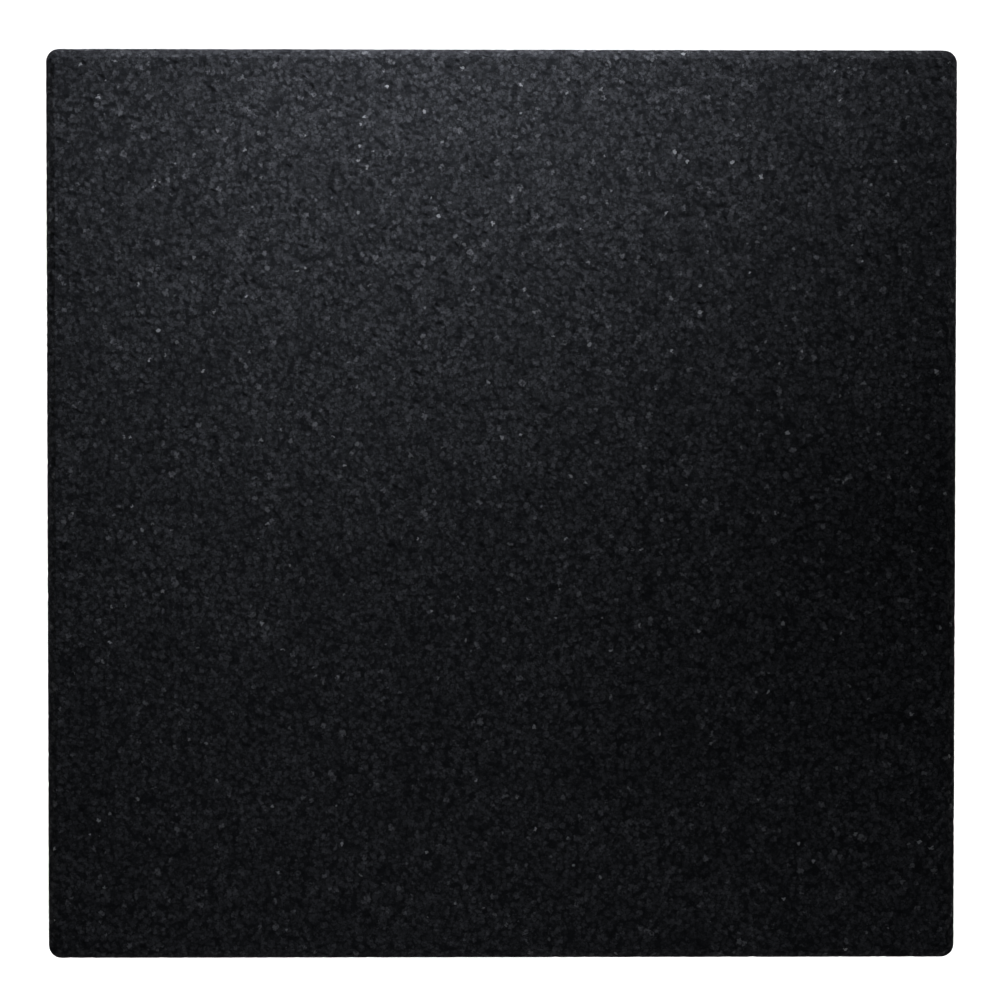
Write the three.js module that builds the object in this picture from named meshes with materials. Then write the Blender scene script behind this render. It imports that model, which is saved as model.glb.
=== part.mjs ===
// Rubber gym floor tile: one square slab pressed from bonded rubber crumb.
// Millimetres, +Z up. The origin is at the centre of the underside, and the
// top face looks along +Z. The granular relief is finer than this solid.
import * as THREE from 'three';

// ---- driving dimensions (mm) ----
const SIDE = 500;            // overall length and width
const THICKNESS = 20;        // underside to top face
const BEVEL_WIDTH = 4.4;     // bevel round the top edge, seen from above
const BEVEL_DROP = 3.0;      // height that the bevel takes off the side, so it leans about 34 degrees
const CORNER_R = 7.2;        // plan radius of the four upright corners
const CORNER_STEPS = 8;      // flats in each quarter of a corner

// ---- outline of the slab at a given inset from its full size ----
// The bevel keeps the corners' centres, so each corner gets tighter as it rises.
function outline(inset) {
  const half = SIDE / 2;
  const c = half - CORNER_R;           // centre of each corner arc
  const r = CORNER_R - inset;
  const points = [];
  for (const [sx, sy, start] of [[1, 1, 0], [-1, 1, 90], [-1, -1, 180], [1, -1, 270]]) {
    for (let i = 0; i <= CORNER_STEPS; i++) {
      const a = THREE.MathUtils.degToRad(start + (90 * i) / CORNER_STEPS);
      points.push([sx * c + r * Math.cos(a), sy * c + r * Math.sin(a)]);
    }
  }
  return points;
}

// ---- rings from the underside up: side wall, then the bevel to the top face ----
const rings = [
  { z: 0, points: outline(0) },
  { z: THICKNESS - BEVEL_DROP, points: outline(0) },
  { z: THICKNESS, points: outline(BEVEL_WIDTH) },
];

const position = [];
for (const ring of rings) {
  for (const [x, y] of ring.points) position.push(x, y, ring.z);
}
const n = rings[0].points.length;
const index = [];
for (let k = 0; k + 1 < rings.length; k++) {
  for (let i = 0; i < n; i++) {
    const j = (i + 1) % n;
    const a = k * n + i, b = k * n + j, c = (k + 1) * n + j, d = (k + 1) * n + i;
    index.push(a, b, c, a, c, d);
  }
}
// The two flat faces are triangulated as plane outlines.
const top = (rings.length - 1) * n;
const flat = (ring) => THREE.ShapeUtils.triangulateShape(
  ring.points.map(([x, y]) => new THREE.Vector2(x, y)), []);
for (const [a, b, c] of flat(rings[0])) index.push(a, c, b);
for (const [a, b, c] of flat(rings[rings.length - 1])) index.push(top + a, top + b, top + c);

const geometry = new THREE.BufferGeometry();
geometry.setAttribute('position', new THREE.Float32BufferAttribute(position, 3));
geometry.setIndex(index);
geometry.computeVertexNormals();

const tile = new THREE.Mesh(geometry, new THREE.MeshStandardMaterial({
  color: 0x1c1d1f, roughness: 0.85, metalness: 0,
}));
tile.name = 'rubber_tile';

const group = new THREE.Group();
group.name = 'rubber_gym_floor_tile';
group.add(tile);

export default group;
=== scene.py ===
import math

import bpy
import numpy as np
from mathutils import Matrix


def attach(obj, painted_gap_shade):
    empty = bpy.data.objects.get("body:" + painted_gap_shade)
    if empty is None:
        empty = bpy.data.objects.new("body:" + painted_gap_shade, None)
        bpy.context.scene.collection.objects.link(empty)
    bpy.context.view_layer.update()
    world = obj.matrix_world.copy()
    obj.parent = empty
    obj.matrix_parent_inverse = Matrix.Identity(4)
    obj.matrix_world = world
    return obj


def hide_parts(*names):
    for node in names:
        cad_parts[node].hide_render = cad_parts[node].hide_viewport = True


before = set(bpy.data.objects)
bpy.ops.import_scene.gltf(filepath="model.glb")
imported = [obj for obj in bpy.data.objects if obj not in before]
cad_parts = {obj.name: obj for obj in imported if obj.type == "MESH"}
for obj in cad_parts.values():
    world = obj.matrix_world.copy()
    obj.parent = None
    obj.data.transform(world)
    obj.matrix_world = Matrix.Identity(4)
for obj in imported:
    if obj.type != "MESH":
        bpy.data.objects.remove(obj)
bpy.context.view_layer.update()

# ---------------------------------------------------------------- sizes (mm)
SIDE = 500.0          # overall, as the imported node
THICK = 20.0
BEVEL = 4.4           # the bevel's width; it drops 3 mm
CORNER = 7.2          # plan radius of the upright corners
CELLS = 282           # facets' cells along one side of the top face
CRUMB = 2.45          # mean pitch of the granules
MM = 0.001

rng = np.random.default_rng(379)


# ------------------------------------------------------------ crumb function
def mixed(ix, iy, iz, k):
    """A repeatable random number from 0 to 1 for each lattice cell and channel k."""
    with np.errstate(over="ignore"):
        h = (ix.astype(np.int64) * 73856093) ^ (iy.astype(np.int64) * 19349663)
        h = h ^ (iz.astype(np.int64) * 83492791) ^ (k * 1640531527)
        h = (h & 0xFFFFFFFF).astype(np.uint32)
        h ^= h >> np.uint32(16)
        h = (h * np.uint32(0x7FEB352D)).astype(np.uint32)
        h ^= h >> np.uint32(15)
        h = (h * np.uint32(0x846CA68B)).astype(np.uint32)
        h ^= h >> np.uint32(16)
    return h.astype(np.float64) / 4294967296.0


def crumb(p, pitch, salt):
    """Nearest granule of each point: the point's offset from its middle, the distance to its edge, and the granule's random numbers."""
    q = p / pitch
    cell = np.floor(q).astype(np.int64)
    first = np.full(len(p), 1e9)
    second = np.full(len(p), 1e9)
    middle = np.zeros_like(p)
    owner = np.zeros_like(cell)
    for dx in (-1, 0, 1):
        for dy in (-1, 0, 1):
            for dz in (-1, 0, 1):
                c = cell + np.array([dx, dy, dz])
                at = np.stack(
                    [
                        c[:, a] + 0.5 + 0.9 * (mixed(c[:, 0], c[:, 1], c[:, 2], salt + a) - 0.5)
                        for a in range(3)
                    ],
                    1,
                )
                d = np.linalg.norm(q - at, axis=1)
                near = d < first
                second = np.where(near, first, np.minimum(second, d))
                middle[near] = at[near]
                owner[near] = c[near]
                first = np.where(near, d, first)
    edge = (second - first) / 2 * pitch
    draws = [mixed(owner[:, 0], owner[:, 1], owner[:, 2], salt + 10 + k) for k in range(6)]
    return p - middle * pitch, edge, draws


def depth_of(p, rough):
    """How far below the mould's face the crumb lies at each point (mm)."""
    off, edge, r = crumb(p, CRUMB, 1)
    depth = 0.03 + 0.15 * r[0] ** 2
    sunk = r[1] < 0.12 + 0.10 * rough
    depth += np.where(sunk, 0.16 + 0.32 * r[2], 0.0)
    tilt = np.stack([r[3] - 0.5, r[4] - 0.5, r[5] - 0.5], 1) * 0.12
    depth += (off * tilt).sum(1)
    depth += (0.13 + 0.12 * rough) * np.exp(-((edge / 0.26) ** 2))
    depth += 0.03 * rng.random(len(p))
    return np.clip(depth, 0.0, 1.1)


# ------------------------------------------------------------------- outline
def ring(inset, shift=None):
    """Points round the slab's outline at that inset, the same number at every inset, as (x, y) and outward (nx, ny)."""
    half, r = SIDE / 2 - inset, max(CORNER - inset, 0.6)
    arc, straight = r * math.pi / 4, 2 * (half - r)
    total = 2 * arc + straight
    t = (np.arange(CELLS) / CELLS)[None, :].repeat(4, 0)
    if shift is not None:
        t = np.clip(t + shift.reshape(4, CELLS) / total, 0.0, 1.0)
    s = t * total
    # on the side that runs along +X at y = -half, from the middle of one corner to the next
    a1 = -math.pi * 3 / 4 + np.minimum(s, arc) / r
    a2 = -math.pi / 2 + np.maximum(s - arc - straight, 0.0) / r
    first, last = s < arc, s > arc + straight
    x = np.where(first, -half + r + r * np.cos(a1), np.where(last, half - r + r * np.cos(a2), -half + r + (s - arc)))
    y = np.where(first, -half + r + r * np.sin(a1), np.where(last, -half + r + r * np.sin(a2), -half))
    nx = np.where(first, np.cos(a1), np.where(last, np.cos(a2), 0.0))
    ny = np.where(first, np.sin(a1), np.where(last, np.sin(a2), -1.0))
    out = []
    for k in range(4):
        c, sn = (1, 0, -1, 0)[k], (0, 1, 0, -1)[k]
        out.append(np.stack([x[k] * c - y[k] * sn, x[k] * sn + y[k] * c, nx[k] * c - ny[k] * sn, nx[k] * sn + ny[k] * c], 1))
    out = np.concatenate(out)
    return out[:, :2], out[:, 2:]


# rows down from the top face's rim: inset, height, and the face's slope out of the vertical (degrees)
ROWS = [
    (5.35, 19.97, 5), (4.75, 19.84, 16), (3.75, 19.32, 29), (2.65, 18.70, 32), (1.45, 17.92, 37), (0.44, 16.92, 56),
    (0.08, 15.95, 80), (0.0, 14.25, 90), (0.0, 12.35, 90), (0.0, 10.45, 90), (0.0, 8.55, 90),
    (0.0, 6.65, 90), (0.0, 4.85, 90), (0.02, 3.10, 90), (0.14, 1.20, 98), (0.85, 0.0, 180),
]
CREASE = (5, 6)       # rows on the outer crease, which the eye reads as the tile's outline
N = CELLS
RING = 4 * N


def rim_index(n):
    """Grid index (i, j) of each rim point, in the ring's order."""
    ij = []
    ij += [(i, 0) for i in range(n)]
    ij += [(n, j) for j in range(n)]
    ij += [(n - i, n) for i in range(n)]
    ij += [(0, n - j) for j in range(n)]
    return np.array(ij)


# ------------------------------------------------------------------ top face
half = SIDE / 2 - ROWS[0][0]
step = 2 * half / N
gi, gj = np.meshgrid(np.arange(N + 1), np.arange(N + 1), indexing="ij")
gx, gy = -half + gi * step, -half + gj * step
# the rows of the lattice wander, so no line of it runs through the crumb
wx, wy = np.zeros_like(gx), np.zeros_like(gy)
for _ in range(14):
    for w in (wx, wy):
        length, way, phase = rng.uniform(14, 60), rng.uniform(0, 2 * math.pi), rng.uniform(0, 2 * math.pi)
        w += length / 60 * 0.75 * np.sin((gx * math.cos(way) + gy * math.sin(way)) * 2 * math.pi / length + phase)
inward = np.minimum(np.minimum(gi, N - gi), np.minimum(gj, N - gj)) * step
hold = np.clip(inward / 14.0, 0.0, 1.0)
hold = hold * hold * (3 - 2 * hold)
free = np.clip(inward / step / 1.5, 0.0, 1.0)
corner_far = np.minimum.reduce([np.hypot(gx - a, gy - b) for a in (-half, half) for b in (-half, half)])
free *= np.clip(corner_far / 6.0, 0.25, 1.0)
gx = gx + wx * hold + free * step * 0.33 * rng.uniform(-1, 1, gx.shape)
gy = gy + wy * hold + free * step * 0.33 * rng.uniform(-1, 1, gy.shape)
rim = rim_index(N)

# -------------------------------------------------- bevel, sides, lower edge
places, normals, pits = [], [], []
xyz = np.zeros((N + 1, N + 1, 3))
xyz[..., 0], xyz[..., 1], xyz[..., 2] = gx, gy, THICK
down = np.zeros((N + 1, N + 1, 3))
down[..., 2] = 1.0
rings = []
for k, (inset, z, slope) in enumerate(ROWS):
    last = k == len(ROWS) - 1
    jitter = rng.uniform(-0.30, 0.30, RING) * step
    jitter[::N] = 0.0
    xy, out = ring(inset, jitter)
    a = math.radians(slope)
    n3 = np.concatenate([out * math.sin(a), np.full((RING, 1), math.cos(a))], 1)
    p = np.concatenate([xy, np.full((RING, 1), z)], 1)
    if 0 < k and not last:
        along = np.stack([out[:, 0] * math.cos(a), out[:, 1] * math.cos(a), np.full(RING, -math.sin(a))], 1)
        reach = 0.2 if k in CREASE or k == len(ROWS) - 2 else 0.42
        p = p + along * rng.uniform(-reach, reach, (RING, 1))
    rings.append((p, n3, last))
i0, j0 = rim[:, 0], rim[:, 1]
xyz[i0, j0] = rings[0][0]
down[i0, j0] = rings[0][1]

base = [xyz.reshape(-1, 3)] + [p for p, _, _ in rings[1:]]
face = [down.reshape(-1, 3)] + [n for _, n, _ in rings[1:]]
base, face = np.concatenate(base), np.concatenate(face)
grid_count = (N + 1) ** 2
rough = np.zeros(len(base))
rough[grid_count:] = 0.6
depth = depth_of(base, rough)
for k in range(1, len(ROWS)):
    rows_here = grid_count + (k - 1) * RING + np.arange(RING)
    depth[rows_here] *= 0.34 if k in CREASE else 0.65 if k in (4, 7) else 1.0
lowest = np.arange(len(base) - RING, len(base))      # the ring that rests on the floor stays at z = 0
depth[lowest] = 0.0
co = base - face * depth[:, None]
# the lower edge is ragged in plan instead
ragged = 0.45 * np.abs(rng.normal(0, 1, RING)).clip(0, 2)
co[lowest, :2] -= rings[-1][1][:, :2] * 0.0
_, out_low = ring(ROWS[-1][0])
co[lowest, :2] -= out_low * ragged[:, None]
co[lowest, 2] = 0.0

# ------------------------------------------------------------------ triangles
def quads_to_tris(a, b, c, d, at):
    """Cuts quads a b c d along the shorter diagonal."""
    ac = np.linalg.norm(at[a] - at[c], axis=1)
    bd = np.linalg.norm(at[b] - at[d], axis=1)
    one = ac <= bd
    t1 = np.where(one[:, None], np.stack([a, b, c], 1), np.stack([a, b, d], 1))
    t2 = np.where(one[:, None], np.stack([a, c, d], 1), np.stack([b, c, d], 1))
    return np.concatenate([t1, t2])


flat_index = np.arange(grid_count).reshape(N + 1, N + 1)
a = flat_index[:-1, :-1].ravel()
b = flat_index[1:, :-1].ravel()
c = flat_index[1:, 1:].ravel()
d = flat_index[:-1, 1:].ravel()
tris = [quads_to_tris(a, b, c, d, co)]
above = flat_index[i0, j0]
for k in range(1, len(ROWS)):
    below = grid_count + (k - 1) * RING + np.arange(RING)
    nxt_a, nxt_b = np.roll(above, -1), np.roll(below, -1)
    tris.append(quads_to_tris(below, nxt_b, nxt_a, above, co))
    above = below

# -------------------------------------------------------------- plain underside
COARSE = N // 6
under_half = SIDE / 2 - ROWS[-1][0]
pitch = 2 * under_half / COARSE
ui, uj = np.meshgrid(np.arange(1, COARSE), np.arange(1, COARSE), indexing="ij")
ux = -under_half + ui * pitch + rng.uniform(-0.2, 0.2, ui.shape) * pitch
uy = -under_half + uj * pitch + rng.uniform(-0.2, 0.2, uj.shape) * pitch
under = np.stack([ux.ravel(), uy.ravel(), np.zeros(ux.size)], 1)
under_first = len(co)
co = np.concatenate([co, under])
depth = np.concatenate([depth, np.zeros(len(under))])
M = COARSE - 1
ug = under_first + np.arange(M * M).reshape(M, M)
a, b = ug[:-1, :-1].ravel(), ug[1:, :-1].ravel()
c, d = ug[1:, 1:].ravel(), ug[:-1, 1:].ravel()
tris.append(quads_to_tris(a, b, c, d, co)[:, ::-1])
# the outer ring of coarse cells fans out to the fine ring of the lower edge
inner = np.concatenate([
    [ug[i, 0] for i in range(M)], [ug[M - 1, j] for j in range(1, M)],
    [ug[i, M - 1] for i in range(M - 2, -1, -1)], [ug[0, j] for j in range(M - 2, 0, -1)],
]).astype(int)
outer = above


def zip_rings(outer, inner, at):
    """Triangles between two closed rings that run the same way round."""
    def angle(ids):
        # position along the square, so that straight sides match up
        x, y = at[ids, 0], at[ids, 1]
        m = np.maximum(np.abs(x), np.abs(y))
        u, v = x / m, y / m
        s = np.where(v <= -0.9999999, u + 1, np.where(u >= 0.9999999, 3 + v, np.where(v >= 0.9999999, 5 - u, 7 - v)))
        return s
    so, si = angle(outer), angle(inner)
    o, i = int(np.argmin(so)), int(np.argmin(si))
    so, si = np.roll(so, -o), np.roll(si, -i)
    outer, inner = np.roll(outer, -o), np.roll(inner, -i)
    so, si = np.append(so, so[0] + 8), np.append(si, si[0] + 8)
    out, o, i = [], 0, 0
    while o < len(outer) or i < len(inner):
        if i >= len(inner) or (o < len(outer) and so[o + 1] <= si[i + 1]):
            out.append((outer[o], inner[i % len(inner)], outer[(o + 1) % len(outer)]))
            o += 1
        else:
            out.append((outer[o % len(outer)], inner[i], inner[(i + 1) % len(inner)]))
            i += 1
    return np.array(out)


tris.append(zip_rings(outer, inner, co))
tris = np.concatenate(tris)

mesh = bpy.data.meshes.new("crumb_tile")
mesh.vertices.add(len(co))
mesh.vertices.foreach_set("co", (co * MM).astype(np.float32).ravel())
mesh.loops.add(len(tris) * 3)
mesh.loops.foreach_set("vertex_index", tris.astype(np.int32).ravel())
mesh.polygons.add(len(tris))
mesh.polygons.foreach_set("loop_start", np.arange(0, len(tris) * 3, 3, dtype=np.int32))
mesh.polygons.foreach_set("use_smooth", np.zeros(len(tris), bool))
mesh.update(calc_edges=True)
mesh.validate()
pit = mesh.attributes.new("pit", "FLOAT", "POINT")
pit.data.foreach_set("value", depth.astype(np.float32))

tile = bpy.data.objects.new("crumb_tile", mesh)
bpy.context.scene.collection.objects.link(tile)
print("TILE", len(tris), "triangles", flush=True)


# ------------------------------------------------------------------ materials
class Nodes:
    """Short calls for a material's node tree."""

    def __init__(self, material):
        material.use_nodes = True
        self.tree = material.node_tree
        self.tree.nodes.clear()

    def add(self, kind, **props):
        n = self.tree.nodes.new(kind)
        for key, value in props.items():
            setattr(n, key, value)
        return n

    def put(self, socket, value):
        if isinstance(value, bpy.types.NodeSocket):
            self.tree.links.new(value, socket)
        else:
            socket.default_value = value

    def math(self, op, a, b=0.0, clamp=False):
        n = self.add("ShaderNodeMath", operation=op, use_clamp=clamp)
        self.put(n.inputs[0], a)
        self.put(n.inputs[1], b)
        return n.outputs[0]

    def vmath(self, op, a, b=(0.0, 0.0, 0.0)):
        n = self.add("ShaderNodeVectorMath", operation=op)
        self.put(n.inputs[0], a)
        if op == "SCALE":
            self.put(n.inputs["Scale"], b)
        else:
            self.put(n.inputs[1], b)
        return n.outputs["Value" if op in ("DOT_PRODUCT", "LENGTH", "DISTANCE") else "Vector"]

    def span(self, value, a, b, to_a, to_b, smooth=True):
        n = self.add("ShaderNodeMapRange", interpolation_type="SMOOTHSTEP" if smooth else "LINEAR")
        self.put(n.inputs["Value"], value)
        for name, x in (("From Min", a), ("From Max", b), ("To Min", to_a), ("To Max", to_b)):
            n.inputs[name].default_value = x
        return n.outputs["Result"]

    def cells(self, vector, feature="F1"):
        n = self.add("ShaderNodeTexVoronoi", voronoi_dimensions="3D", feature=feature)
        self.put(n.inputs["Vector"], vector)
        n.inputs["Scale"].default_value = 1.0
        n.inputs["Randomness"].default_value = 1.0
        return n

    def noise(self, vector, scale, detail=2.0, roughness=0.5):
        n = self.add("ShaderNodeTexNoise", noise_dimensions="3D")
        self.put(n.inputs["Vector"], vector)
        n.inputs["Scale"].default_value = scale
        n.inputs["Detail"].default_value = detail
        n.inputs["Roughness"].default_value = roughness
        return n.outputs["Fac"]

    def dice(self, vector):
        n = self.add("ShaderNodeTexWhiteNoise", noise_dimensions="3D")
        self.put(n.inputs["Vector"], vector)
        s = self.add("ShaderNodeSeparateColor")
        self.put(s.inputs[0], n.outputs["Color"])
        return s.outputs[0], s.outputs[1], s.outputs[2]

    def mix(self, factor, a, b, blend="MIX"):
        n = self.add("ShaderNodeMix", data_type="RGBA", blend_type=blend)
        self.put(n.inputs["Factor"], factor)
        self.put(n.inputs[6], a)
        self.put(n.inputs[7], b)
        return n.outputs[2]


def crumb_rubber():
    m = bpy.data.materials.new("crumb_rubber")
    g = Nodes(m)
    place = g.add("ShaderNodeTexCoord").outputs["Object"]

    # granules, 2.8 mm apart, and a finer crumb, 1.75 mm apart, between and on them
    # their outlines are torn, not round
    torn = g.add("ShaderNodeTexNoise", noise_dimensions="3D")
    g.put(torn.inputs["Vector"], place)
    torn.inputs["Scale"].default_value = 640.0
    torn.inputs["Detail"].default_value = 2.0
    torn.inputs["Roughness"].default_value = 0.6
    shift = g.vmath("SCALE", g.vmath("SUBTRACT", torn.outputs["Color"], (0.5, 0.5, 0.5)), 0.0033)
    bent = g.vmath("ADD", place, shift)
    cell1 = g.cells(g.vmath("SCALE", bent, 358.0))
    cell2 = g.cells(g.vmath("ADD", g.vmath("SCALE", bent, 570.0), (13.7, 5.1, 9.3)))
    r1, r2, r3 = g.dice(cell1.outputs["Position"])
    q1, q2, q3 = g.dice(cell2.outputs["Position"])

    # each granule's face, and each chip's, leans its own way
    lean1 = g.vmath("SCALE", g.vmath("SUBTRACT", cell1.outputs["Color"], (0.5, 0.5, 0.5)), 0.11)
    lean2 = g.vmath("SCALE", g.vmath("SUBTRACT", cell2.outputs["Color"], (0.5, 0.5, 0.5)), 0.11)
    normal = g.add("ShaderNodeNewGeometry").outputs["Normal"]
    leaning = g.vmath("NORMALIZE", g.vmath("ADD", g.vmath("ADD", normal, lean1), lean2))
    grain = g.noise(place, 2600.0, 0.0, 0.5)
    bump = g.add("ShaderNodeBump")
    bump.inputs["Strength"].default_value = 1.0
    bump.inputs["Distance"].default_value = 0.00005
    g.put(bump.inputs["Height"], grain)
    g.put(bump.inputs["Normal"], leaning)

    # deep places between the granules and in the mesh's pits: painted shade, the colour darkened there and from each
    # granule's middle out to its rim
    size1 = g.math("ADD", cell1.outputs["Distance"], g.span(r3, 0.0, 1.0, -0.12, 0.18, False))
    size2 = g.math("ADD", cell2.outputs["Distance"], g.span(q3, 0.0, 1.0, -0.10, 0.16, False))
    rim_shade1 = g.span(size1, 0.48, 0.86, 1.0, 0.06)
    rim_shade2 = g.span(size2, 0.42, 0.82, 1.0, 0.26)
    attribute = g.add("ShaderNodeAttribute", attribute_name="pit", attribute_type="GEOMETRY")
    pit_shade = g.span(attribute.outputs["Fac"], 0.16, 0.60, 1.0, 0.45)
    painted_gap_shade = g.math("MULTIPLY", g.math("MULTIPLY", rim_shade1, rim_shade2), pit_shade)

    # colour: black, each granule its own tone, now and then a grey one or a pale fleck, all darkened by the painted
    # shade at rims, gaps and pits
    cloud = g.noise(place, 30.0, 2.0, 0.7)
    shade = g.math("MULTIPLY", g.span(g.math("POWER", r1, 1.5), 0.0, 1.0, 0.57, 1.55, False), g.span(q1, 0.0, 1.0, 0.71, 1.29, False))
    # painted shade: the tone is multiplied by the darkening at the granules' rims, in the gaps and in the pits
    shade = g.math("MULTIPLY", shade, g.math("MULTIPLY", painted_gap_shade, g.span(q2, 0.94, 1.0, 1.0, 2.0, False)))
    shade = g.math("MULTIPLY", shade, g.span(cloud, 0.25, 0.75, 0.83, 1.19))
    black = g.add("ShaderNodeVectorMath", operation="SCALE")
    black.inputs[0].default_value = (0.0255, 0.0247, 0.0233)
    g.put(black.inputs["Scale"], shade)
    # the grey granules and pale flecks get the same painted shade at their rims and in the gaps
    grey = g.math("MULTIPLY", g.math("GREATER_THAN", r2, 0.985), painted_gap_shade)
    colour = g.mix(grey, black.outputs["Vector"], (0.079, 0.076, 0.071, 1.0))
    pale = g.math("MULTIPLY", g.math("GREATER_THAN", q2, 0.9968), rim_shade2)
    light = g.add("ShaderNodeVectorMath", operation="SCALE")
    light.inputs[0].default_value = (1.0, 0.97, 0.88)
    g.put(light.inputs["Scale"], g.span(q2, 0.9968, 1.0, 0.05, 0.21, False))
    colour = g.mix(pale, colour, light.outputs["Vector"])

    # the binder leaves some granules glossier than others
    gloss = g.span(r3, 0.0, 1.0, 0.95, 0.80, False)
    gloss = g.math("ADD", gloss, g.span(q3, 0.0, 1.0, 0.05, -0.05, False))
    gloss = g.math("SUBTRACT", gloss, g.math("MULTIPLY", g.math("GREATER_THAN", q3, 0.985), 0.22), True)

    shader = g.add("ShaderNodeBsdfPrincipled")
    g.put(shader.inputs["Base Color"], colour)
    g.put(shader.inputs["Roughness"], gloss)
    g.put(shader.inputs["Normal"], bump.outputs["Normal"])
    shader.inputs["Metallic"].default_value = 0.0
    shader.inputs["IOR"].default_value = 1.5
    shader.inputs["Specular IOR Level"].default_value = 0.20
    out = g.add("ShaderNodeOutputMaterial")
    g.put(out.inputs["Surface"], shader.outputs["BSDF"])
    return m


tile.data.materials.append(crumb_rubber())
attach(tile, "root")
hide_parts("rubber_tile")

# ----------------------------------------------------------- bake layout (UV)
TOP_UV, UNDER_UV = 0.72, 0.26


def uv_layout():
    """The top face fills most of the square, the four strips of bevel and side lie above it, and the underside beside it."""
    uv = np.zeros((len(tris) * 3, 2))
    p = co[tris]                                    # triangles' corners
    mid = p.mean(1)
    nz = np.cross(p[:, 1] - p[:, 0], p[:, 2] - p[:, 0])[:, 2]
    vid = tris
    is_top = (vid < grid_count).all(1)
    is_under = (p[..., 2] == 0.0).all(1)
    wall = ~is_top & ~is_under
    flatuv = uv.reshape(-1, 3, 2)
    scale = TOP_UV / (SIDE - 2 * BEVEL)
    flatuv[is_top] = p[is_top][..., :2] * scale + TOP_UV / 2 + 0.005
    under_scale = UNDER_UV / SIDE
    flatuv[is_under] = p[is_under][..., :2] * under_scale * np.array([-1, 1]) + np.array([TOP_UV + 0.012 + UNDER_UV / 2, UNDER_UV / 2 + 0.005])
    # walls: which side, the place along it, and the row
    row = np.where(vid < grid_count, 0, np.clip((vid - grid_count) // RING + 1, 0, len(ROWS) - 1))
    cross = np.array([0.0, 1.1, 2.2, 3.4, 4.6, 5.7, 6.8, 8.5, 10.4, 12.3, 14.2, 16.1, 17.9, 19.6, 21.4, 22.9])
    order = np.full(len(co), -1)
    order[flat_index[i0, j0]] = np.arange(RING)
    for k in range(1, len(ROWS)):
        order[grid_count + (k - 1) * RING + np.arange(RING)] = np.arange(RING)
    m = order[vid[wall]].astype(float)
    m = np.where(m.max(1, keepdims=True) - m > RING / 2, m + RING, m)   # the last quad of the ring
    side = np.floor((m.mean(1) + 1e-6) / N).astype(int) % 4
    along = m - (np.floor((m.mean(1) + 1e-6) / N) * N)[:, None]
    u = along / N * TOP_UV + 0.005
    v = TOP_UV + 0.02 + side[:, None] * 0.045 + cross[row[wall]] * scale
    flatuv[wall] = np.stack([u, v], 2)
    return flatuv.reshape(-1, 2)


layer = mesh.uv_layers.new(name="OFBake")
layer.data.foreach_set("uv", uv_layout().astype(np.float32).ravel())


# ------------------------------------------------------------ floor and backdrop
def plain(name, colour):
    m = bpy.data.materials.new(name)
    g = Nodes(m)
    s = g.add("ShaderNodeBsdfDiffuse")
    s.inputs["Color"].default_value = (*colour, 1.0)
    out = g.add("ShaderNodeOutputMaterial")
    g.put(out.inputs["Surface"], s.outputs["BSDF"])
    return m


floor_mesh = bpy.data.meshes.new("floor")
floor_mesh.from_pydata([(-12, -12, -0.0002), (12, -12, -0.0002), (12, 12, -0.0002), (-12, 12, -0.0002)], [], [(0, 1, 2, 3)])
floor = bpy.data.objects.new("floor", floor_mesh)
floor.data.materials.append(plain("floor_white", (0.86, 0.86, 0.86)))
bpy.context.scene.collection.objects.link(floor)
floor.visible_glossy = False         # the tile's gloss shows the lights, not the floor

# a pale dome behind everything, seen by the camera only
rows, around = 12, 48
points, quads = [], []
for i in range(rows + 1):
    e = -0.1 + (math.pi / 2 + 0.1) * i / rows
    for k in range(around):
        t = 2 * math.pi * k / around
        points.append((11 * math.cos(e) * math.cos(t), 11 * math.cos(e) * math.sin(t), 11 * math.sin(e)))
for i in range(rows):
    for k in range(around):
        n = (k + 1) % around
        quads.append((i * around + k, (i + 1) * around + k, (i + 1) * around + n, i * around + n))
dome_mesh = bpy.data.meshes.new("backdrop")
dome_mesh.from_pydata(points, [], quads)
dome = bpy.data.objects.new("backdrop", dome_mesh)
glow = bpy.data.materials.new("backdrop_white")
g = Nodes(glow)
e = g.add("ShaderNodeEmission")
e.inputs["Color"].default_value = (1.0, 1.0, 1.0, 1.0)
e.inputs["Strength"].default_value = 1.0
o = g.add("ShaderNodeOutputMaterial")
g.put(o.inputs["Surface"], e.outputs["Emission"])
dome.data.materials.append(glow)
bpy.context.scene.collection.objects.link(dome)
dome.visible_diffuse = dome.visible_glossy = dome.visible_transmission = dome.visible_shadow = False

# --------------------------------------------------------------------- lights
lit_tile = bpy.data.collections.new("lit_tile")
lit_tile.objects.link(tile)
lit_floor = bpy.data.collections.new("lit_floor")
lit_floor.objects.link(floor)


def area(name, at, towards, size, power, colour=(1, 1, 1), shape="RECTANGLE", receivers=None, blockers=None):
    light = bpy.data.lights.new(name, "AREA")
    light.shape = shape
    light.size, light.size_y = size
    light.energy = power
    light.color = colour
    ob = bpy.data.objects.new(name, light)
    ob.location = at
    from mathutils import Vector
    way = Vector(towards) - Vector(at)
    ob.rotation_euler = way.to_track_quat("-Z", "Y").to_euler()
    bpy.context.scene.collection.objects.link(ob)
    if receivers:
        ob.light_linking.receiver_collection = receivers
    if blockers:
        ob.light_linking.blocker_collection = blockers
    return ob


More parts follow.
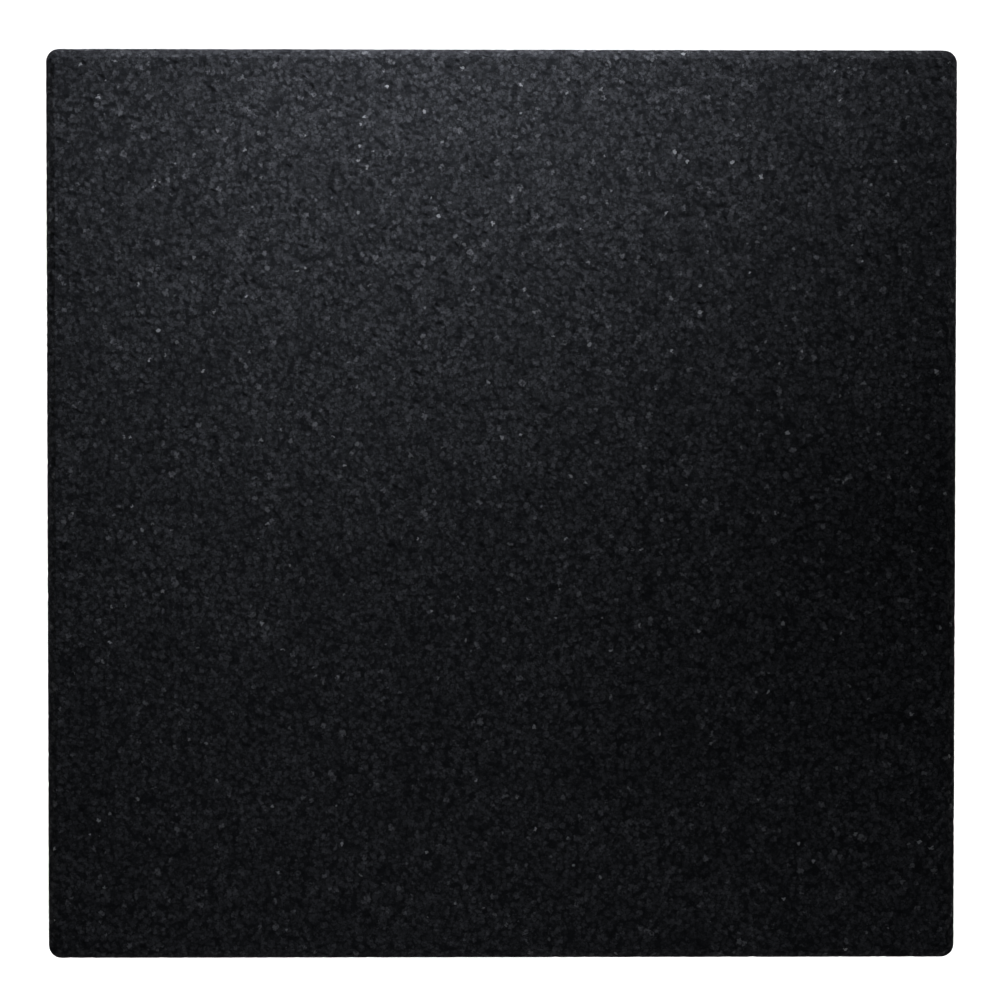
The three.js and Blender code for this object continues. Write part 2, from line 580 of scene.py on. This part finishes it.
COOL = (0.874, 0.944, 1.136)
key = area("key", (0.135, 0.87, 0.355), (-0.065, 0.34, 0.0), (0.36, 0.24), 1.48, COOL, receivers=lit_tile)
right = area("right", (0.37, 0.85, 0.40), (0.22, 0.32, 0.0), (0.30, 0.20), 0.28, COOL, receivers=lit_tile)
near = area("near", (-0.13, 0.50, 0.45), (-0.12, 0.10, 0.0), (0.36, 0.20), 0.31, COOL, receivers=lit_tile)
front = area("front", (-0.05, -0.90, 0.50), (-0.05, -0.25, 0.0), (0.60, 0.30), 0.175, COOL, receivers=lit_tile)
low = area("low", (0.05, -0.05, 0.60), (0.08, -0.30, 0.0), (0.60, 0.10), 0.094, COOL, receivers=lit_tile)
for ob, degrees in ((key, 35), (right, 35), (near, 120), (front, 60), (low, 50)):
    ob.data.spread = math.radians(degrees)
# the floor has a wide soft light of its own, even as far as the backdrop
wash_data = bpy.data.lights.new("wash", "SUN")
wash_data.energy = 6.3
wash_data.angle = math.radians(80)
wash = bpy.data.objects.new("wash", wash_data)
wash.location = (0.0, 0.0, 5.0)
bpy.context.scene.collection.objects.link(wash)
wash.light_linking.receiver_collection = lit_floor
lamps = (key, right, near, front, low, wash)
for ob in lamps:
    ob.visible_camera = False

# the studio round the tile: pale walls low down, a dim ceiling
world = bpy.data.worlds.new("studio")
bpy.context.scene.world = world
world.use_nodes = True
tree = world.node_tree
background = tree.nodes["Background"]
where = tree.nodes.new("ShaderNodeTexCoord")
split = tree.nodes.new("ShaderNodeSeparateXYZ")
up = tree.nodes.new("ShaderNodeMath")
up.operation = "ABSOLUTE"
ramp = tree.nodes.new("ShaderNodeMapRange")
ramp.interpolation_type = "SMOOTHSTEP"
for name, value in (("From Min", 0.04), ("From Max", 0.24), ("To Min", 0.34), ("To Max", 0.030)):
    ramp.inputs[name].default_value = value
tree.links.new(where.outputs["Generated"], split.inputs[0])
tree.links.new(split.outputs["Z"], up.inputs[0])
tree.links.new(up.outputs[0], ramp.inputs["Value"])
tree.links.new(ramp.outputs["Result"], background.inputs["Strength"])
background.inputs["Color"].default_value = (0.85, 0.92, 1.0, 1.0)

# --------------------------------------------------------------------- camera
camera_data = bpy.data.cameras.new("camera")
camera_data.sensor_fit = "HORIZONTAL"
camera_data.sensor_width = 36.0
camera_data.lens = 97.10
camera = bpy.data.objects.new("camera", camera_data)
camera.location = (-0.0161, 0.0350, 1.5)
camera.rotation_euler = (math.radians(-1.243), math.radians(-0.576), math.radians(0.023))
bpy.context.scene.collection.objects.link(camera)
bpy.context.scene.camera = camera

scene = bpy.context.scene
scene.view_settings.view_transform = "Standard"
scene.view_settings.look = "None"
scene.view_settings.exposure = 0.0
scene.view_settings.gamma = 1.0
